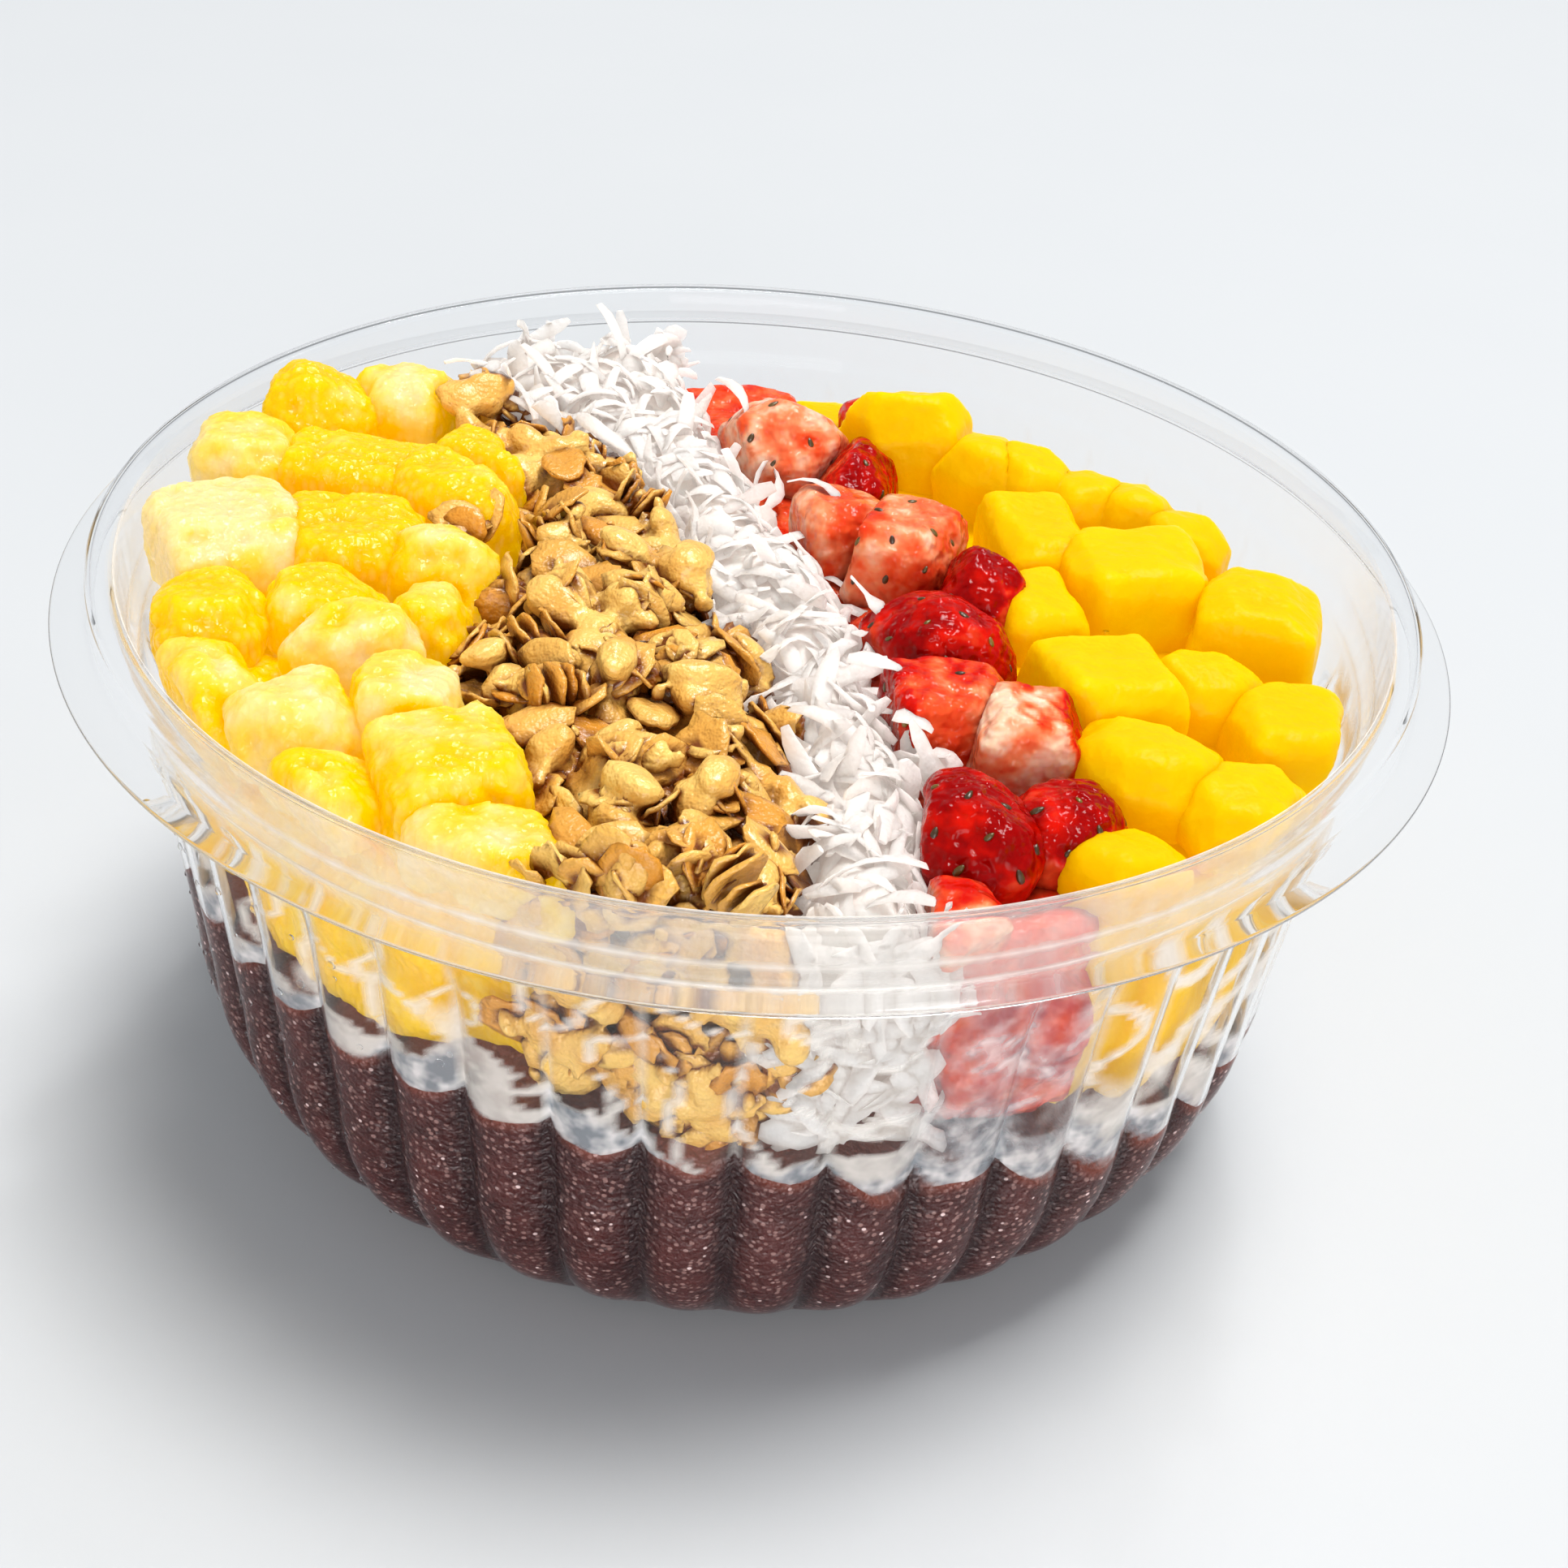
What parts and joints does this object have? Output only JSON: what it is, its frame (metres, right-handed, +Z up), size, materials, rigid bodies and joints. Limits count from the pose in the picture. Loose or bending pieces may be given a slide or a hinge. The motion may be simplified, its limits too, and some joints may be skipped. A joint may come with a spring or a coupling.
{
  "type": "acai bowl",
  "caption": "Acai bowl: clear fluted bowl with a flanged rim, filled with acai pulp and topped with stripes of pineapple, granola, coconut, strawberry and mango",
  "frame": {"origin": "on the table, under the middle of the bowl's foot", "axes": "+Z up; +Y away from the eater; +X to the right. The stripes run from the back left to the front right, 15 degrees off +Y, with pineapple on the left and mango on the right."},
  "size_m": [0.1646, 0.1646, 0.0743],
  "materials": {
    "clear_bowl": "clear, smooth",
    "acai_pulp": "moist frozen pulp",
    "granola": "baked, lightly glazed",
    "coconut": "dry shreds",
    "pineapple": "wet, fibrous",
    "strawberry": "wet, seeded",
    "mango": "wet, smooth"
  },
  "bodies": {
    "root": {"bowl": "clear_bowl", "acai": "acai_pulp", "granola": "granola", "coconut": "coconut", "pineapple_bed": "pineapple", "strawberry_bed": "strawberry", "mango_bed": "mango", "pineapple_01": "pineapple", "pineapple_02": "pineapple", "pineapple_03": "pineapple", "pineapple_04": "pineapple", "pineapple_05": "pineapple", "pineapple_06": "pineapple", "pineapple_07": "pineapple", "pineapple_08": "pineapple", "pineapple_09": "pineapple", "pineapple_10": "pineapple", "pineapple_11": "pineapple", "pineapple_12": "pineapple", "pineapple_13": "pineapple", "pineapple_14": "pineapple", "pineapple_15": "pineapple", "pineapple_16": "pineapple", "pineapple_17": "pineapple", "pineapple_18": "pineapple", "pineapple_19": "pineapple", "pineapple_20": "pineapple", "strawberry_01": "strawberry", "strawberry_02": "strawberry", "strawberry_03": "strawberry", "strawberry_04": "strawberry", "strawberry_05": "strawberry", "strawberry_06": "strawberry", "strawberry_07": "strawberry", "strawberry_08": "strawberry", "strawberry_09": "strawberry", "strawberry_10": "strawberry", "strawberry_11": "strawberry", "strawberry_12": "strawberry", "mango_01": "mango", "mango_02": "mango", "mango_03": "mango", "mango_04": "mango", "mango_05": "mango", "mango_06": "mango", "mango_07": "mango", "mango_08": "mango", "mango_09": "mango", "mango_10": "mango", "mango_11": "mango", "mango_12": "mango"}
  },
  "joints": []
}
